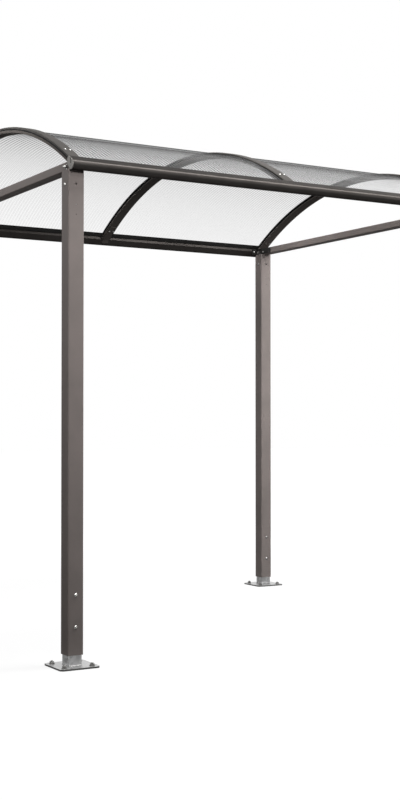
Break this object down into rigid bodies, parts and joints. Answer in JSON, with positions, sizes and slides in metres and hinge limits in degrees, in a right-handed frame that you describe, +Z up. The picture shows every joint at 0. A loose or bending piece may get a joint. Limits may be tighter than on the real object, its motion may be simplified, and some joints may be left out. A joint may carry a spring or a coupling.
{
  "type": "bike shelter",
  "caption": "Open bike shelter: square posts on bolted base shoes carry a barrel-vault roof of clear twin-wall sheet on arched rails between round-nosed eave beams.",
  "frame": {"origin": "on the ground in the middle of the shelter's plan", "axes": "+Z up, X along the eaves, +Y from the front to the back"},
  "size_m": [2.62, 2.28, 2.6615],
  "materials": {
    "frame_paint": "satin taupe powder coat",
    "galvanised": "hot-dip galvanised",
    "cap_plastic": "matte grey",
    "black_coat": "satin black coat",
    "rubber": "matte black",
    "polycarbonate": "clear twin-wall polycarbonate"
  },
  "bodies": {
    "root": {"arch_clip_back": "frame_paint", "arch_clip_front": "frame_paint", "arch_cover_left": "frame_paint", "arch_cover_middle": "frame_paint", "arch_cover_right": "frame_paint", "arch_gasket_left": "rubber", "arch_gasket_middle": "rubber", "arch_gasket_right": "rubber", "arch_rail_left": "frame_paint", "arch_rail_middle": "frame_paint", "arch_rail_right": "frame_paint", "base_shoe_back_left": "galvanised", "base_shoe_back_right": "galvanised", "base_shoe_front_left": "galvanised", "base_shoe_front_right": "galvanised", "beam_cap_back_left": "cap_plastic", "beam_cap_back_right": "cap_plastic", "beam_cap_front_left": "cap_plastic", "beam_cap_front_right": "cap_plastic", "corner_bracket_back_left": "black_coat", "corner_bracket_back_right": "black_coat", "corner_bracket_front_left": "black_coat", "corner_bracket_front_right": "black_coat", "eave_beam_back": "frame_paint", "eave_beam_front": "frame_paint", "end_tie_left": "frame_paint", "end_tie_right": "frame_paint", "post_back_left": "frame_paint", "post_back_right": "frame_paint", "post_front_left": "frame_paint", "post_front_right": "frame_paint", "roof_sheet_left": "polycarbonate", "roof_sheet_right": "polycarbonate", "sheet_trim_back_left": "black_coat", "sheet_trim_back_right": "black_coat", "sheet_trim_front_left": "black_coat", "sheet_trim_front_right": "black_coat", "tie_spigot_back_left": "galvanised", "tie_spigot_back_right": "galvanised", "tie_spigot_front_left": "galvanised", "tie_spigot_front_right": "galvanised"}
  },
  "joints": []
}
